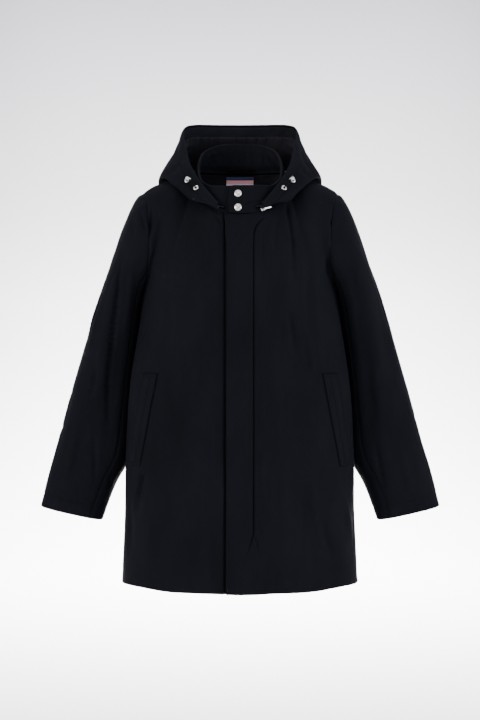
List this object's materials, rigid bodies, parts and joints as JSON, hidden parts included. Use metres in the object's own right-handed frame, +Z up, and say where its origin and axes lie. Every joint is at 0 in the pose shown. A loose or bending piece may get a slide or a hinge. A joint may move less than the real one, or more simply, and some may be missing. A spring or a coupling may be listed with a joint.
{
  "type": "hooded parka",
  "caption": "Mid-thigh padded parka filled out as worn, with a stand collar, concealed front closing, slanted pockets and a zipped-on hood lying back.",
  "frame": {"origin": "base of the neck on the centre plane, where the wearer's neck and shoulders carry the garment", "axes": "+Z up, the front faces -Y, and the wearer's left is +X"},
  "size_m": [0.838, 0.3434, 0.9931],
  "materials": {
    "back": "dark navy-black padded nylon cloth, fine plain weave, soft low sheen",
    "collar": "dark navy-black padded nylon cloth, fine plain weave, soft low sheen",
    "cord_lock_left": "silver, turned",
    "cord_lock_right": "silver, turned",
    "cord_loop_left": "black braided elastic",
    "cord_loop_right": "black braided elastic",
    "eyelet_left_lower": "bright silver, stamped",
    "eyelet_left_upper": "bright silver, stamped",
    "eyelet_right_lower": "bright silver, stamped",
    "eyelet_right_upper": "bright silver, stamped",
    "front_left": "dark navy-black padded nylon cloth, fine plain weave, soft low sheen",
    "front_right": "dark navy-black padded nylon cloth, fine plain weave, soft low sheen",
    "hanger_loop": "black woven tape",
    "hood_centre": "dark navy-black padded nylon cloth, fine plain weave, soft low sheen",
    "hood_facing": "dark navy-black padded nylon cloth, fine plain weave, soft low sheen",
    "hood_lining": "black gathered lining cloth, slightly smoother than the shell",
    "hood_side_left": "dark navy-black padded nylon cloth, fine plain weave, soft low sheen",
    "hood_side_right": "dark navy-black padded nylon cloth, fine plain weave, soft low sheen",
    "hood_zip_pull": "bright silver",
    "hood_zip_slider": "bright silver",
    "hood_zip_tape": "black woven zip tape",
    "neck_label": "satin ribbon with plain stripes in navy, white and pink",
    "pocket_welt_left": "dark navy-black padded nylon cloth, fine plain weave, soft low sheen",
    "pocket_welt_right": "dark navy-black padded nylon cloth, fine plain weave, soft low sheen",
    "sleeve_top_left": "dark navy-black padded nylon cloth, fine plain weave, soft low sheen",
    "sleeve_top_right": "dark navy-black padded nylon cloth, fine plain weave, soft low sheen",
    "sleeve_under_left": "dark navy-black padded nylon cloth, fine plain weave, soft low sheen",
    "sleeve_under_right": "dark navy-black padded nylon cloth, fine plain weave, soft low sheen",
    "snap_lower": "bright silver, domed",
    "snap_upper": "bright silver, domed"
  },
  "bodies": {
    "garment": {"back": "back", "collar": "collar", "cord_lock_left": "cord_lock_left", "cord_lock_right": "cord_lock_right", "cord_loop_left": "cord_loop_left", "cord_loop_right": "cord_loop_right", "eyelet_left_lower": "eyelet_left_lower", "eyelet_left_upper": "eyelet_left_upper", "eyelet_right_lower": "eyelet_right_lower", "eyelet_right_upper": "eyelet_right_upper", "front_left": "front_left", "front_right": "front_right", "hanger_loop": "hanger_loop", "hood_centre": "hood_centre", "hood_facing": "hood_facing", "hood_lining": "hood_lining", "hood_side_left": "hood_side_left", "hood_side_right": "hood_side_right", "hood_zip_slider": "hood_zip_slider", "hood_zip_tape": "hood_zip_tape", "neck_label": "neck_label", "pocket_welt_left": "pocket_welt_left", "pocket_welt_right": "pocket_welt_right", "sleeve_top_left": "sleeve_top_left", "sleeve_top_right": "sleeve_top_right", "sleeve_under_left": "sleeve_under_left", "sleeve_under_right": "sleeve_under_right", "snap_lower": "snap_lower", "snap_upper": "snap_upper"},
    "zip_pull": {"hood_zip_pull": "hood_zip_pull"}
  },
  "joints": [
    {"name": "pull_swing", "type": "hinge", "parent": "garment", "child": "zip_pull", "pos_m": [0.0489, -0.11374, -0.09119], "axis": [0.2881, 0.0477, -0.9564], "range_deg": [0, 120]}
  ]
}
